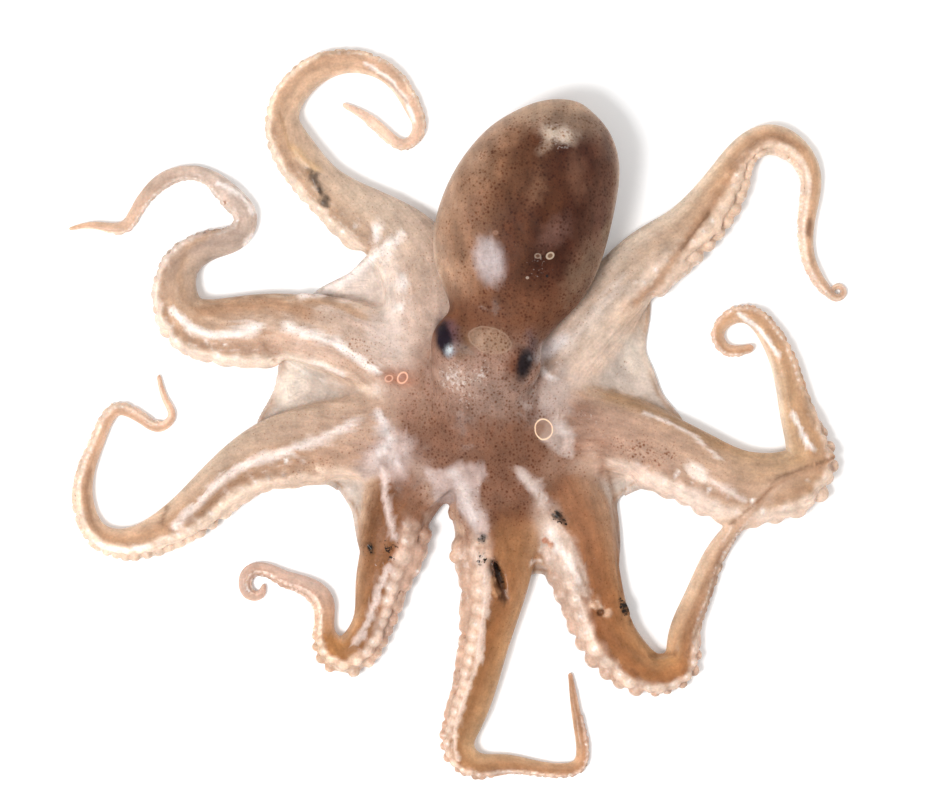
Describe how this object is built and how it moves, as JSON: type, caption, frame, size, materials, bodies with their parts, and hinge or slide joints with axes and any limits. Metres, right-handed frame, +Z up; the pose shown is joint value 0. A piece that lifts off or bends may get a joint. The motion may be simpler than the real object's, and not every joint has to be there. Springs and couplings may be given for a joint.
{
  "type": "octopus",
  "caption": "Small raw octopus lying on its belly, with an egg-shaped mantle and long tapering arms that curl at their tips.",
  "frame": {"origin": "under the middle of the octopus's box, on the surface that it lies on", "axes": "+X along the longest spread of the arms, +Y towards the tip of the mantle, +Z up from the surface"},
  "size_m": [0.209, 0.1966, 0.0291],
  "materials": {
    "skin": "wet, glossy and slightly translucent skin"
  },
  "bodies": {
    "root": {"octopus": "skin"}
  },
  "joints": []
}
